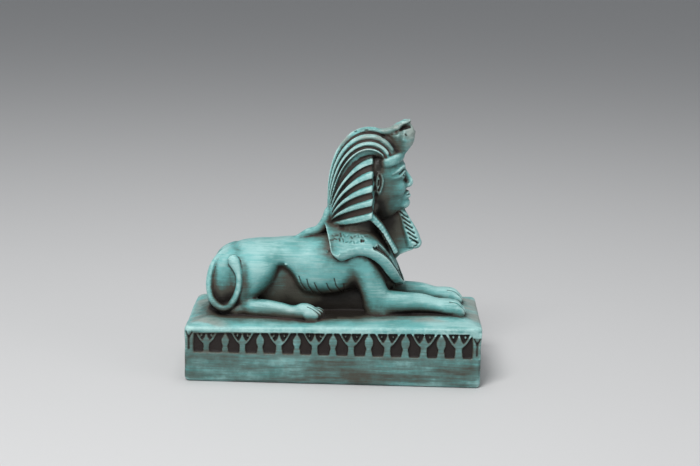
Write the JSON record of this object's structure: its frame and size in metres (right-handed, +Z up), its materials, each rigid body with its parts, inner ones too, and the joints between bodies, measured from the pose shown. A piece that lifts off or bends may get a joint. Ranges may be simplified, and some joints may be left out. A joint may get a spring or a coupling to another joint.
{
  "type": "sphinx figurine",
  "caption": "Lying sphinx with striped headcloth, cobra, false beard and curled tail, cast in one with a rectangular plinth with a lotus frieze. Stands on a shelf or desk.",
  "frame": {"origin": "Middle of the plinth's underside, which is the underside of the whole.", "axes": "+X is the way the sphinx looks and lies, along the plinth; +Z is up; +Y is its left side. The tail is on the right side, at -Y."},
  "size_m": [0.14, 0.06, 0.1231],
  "materials": {
    "turquoise_stone": "satin turquoise paint, rubbed over a dark brown wash that stays in the recesses"
  },
  "bodies": {
    "root": {"sphinx_on_plinth": "turquoise_stone"}
  },
  "joints": []
}
